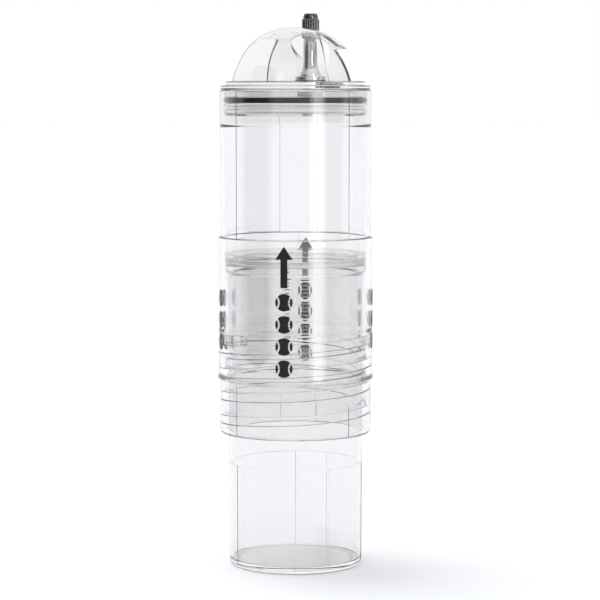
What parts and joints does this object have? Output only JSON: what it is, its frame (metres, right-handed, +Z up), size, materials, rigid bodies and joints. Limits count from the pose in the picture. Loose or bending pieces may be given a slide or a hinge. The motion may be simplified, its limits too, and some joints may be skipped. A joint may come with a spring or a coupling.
{
  "type": "tennis ball pressuriser can",
  "caption": "Clear pressure canister for tennis balls, with a screw-in telescoping ball tube, a sealed plug with a domed guard, and an air valve.",
  "frame": {"origin": "middle of the ball tube's foot, where the can stands", "axes": "+Z up along the can's axis; the valve stands behind the axis and a little to +X, and the front print faces -Y"},
  "size_m": [0.0858, 0.0858, 0.3042],
  "materials": {
    "clear_body": "clear, polished",
    "clear_guard": "clear, polished, faintly cool",
    "seal_silicone": "translucent, satin",
    "black_rubber": "satin",
    "valve_steel": "polished, nickel plated",
    "dark_metal": "dark plated, worn on the ribs",
    "brass": "machined",
    "black_ink": "printed, satin"
  },
  "bodies": {
    "outer_body": {"outer_body": "clear_body"},
    "tube_seal": {"tube_seal": "seal_silicone"},
    "ball_tube": {"ball_tube": "clear_body"},
    "cap": {"cap_plug": "clear_body", "cap_guard": "clear_guard", "cap_o_ring": "black_rubber", "valve_stem": "valve_steel", "valve_grommet": "black_rubber", "valve_washer": "dark_metal", "valve_nut": "valve_steel", "valve_core_body": "brass", "valve_core_gasket": "seal_silicone", "valve_core_spring": "valve_steel"},
    "valve_cap_gasket": {"valve_cap_gasket": "black_rubber"},
    "valve_cap": {"valve_cap": "dark_metal"},
    "valve_pin": {"valve_core_pin": "brass", "valve_core_plunger": "black_rubber"}
  },
  "joints": [
    {"name": "tube_travel", "type": "slide", "parent": "outer_body", "child": "tube_seal", "axis": [0, 0, -1], "range_m": [0, 0.0326]},
    {"name": "tube_turn", "type": "hinge", "parent": "tube_seal", "child": "ball_tube", "pos_m": [0, 0, 0.1], "axis": [0, 0, -1], "range_deg": [0, 900]},
    {"name": "cap_lift", "type": "slide", "parent": "outer_body", "child": "cap", "axis": [0, 0, 1], "range_m": [0, 0.03]},
    {"name": "valve_cap_travel", "type": "slide", "parent": "cap", "child": "valve_cap_gasket", "axis": [0, 0, 1], "range_m": [0, 0.0079]},
    {"name": "valve_cap_turn", "type": "hinge", "parent": "valve_cap_gasket", "child": "valve_cap", "pos_m": [0.0084, 0.021, 0.296], "axis": [0, 0, 1], "range_deg": [0, 3600]},
    {"name": "valve_pin_press", "type": "slide", "parent": "cap", "child": "valve_pin", "axis": [0, 0, -1], "range_m": [0, 0.0018], "stiffness_N_per_m": 400, "springref_m": -0.002, "deforming": ["valve_core_spring"]}
  ],
  "couplings": [
    {"joint": "tube_travel", "follows": "tube_turn", "m_per_rad": 0.002069},
    {"joint": "valve_cap_turn", "follows": "valve_cap_travel", "rad_per_m": 7913.3}
  ]
}
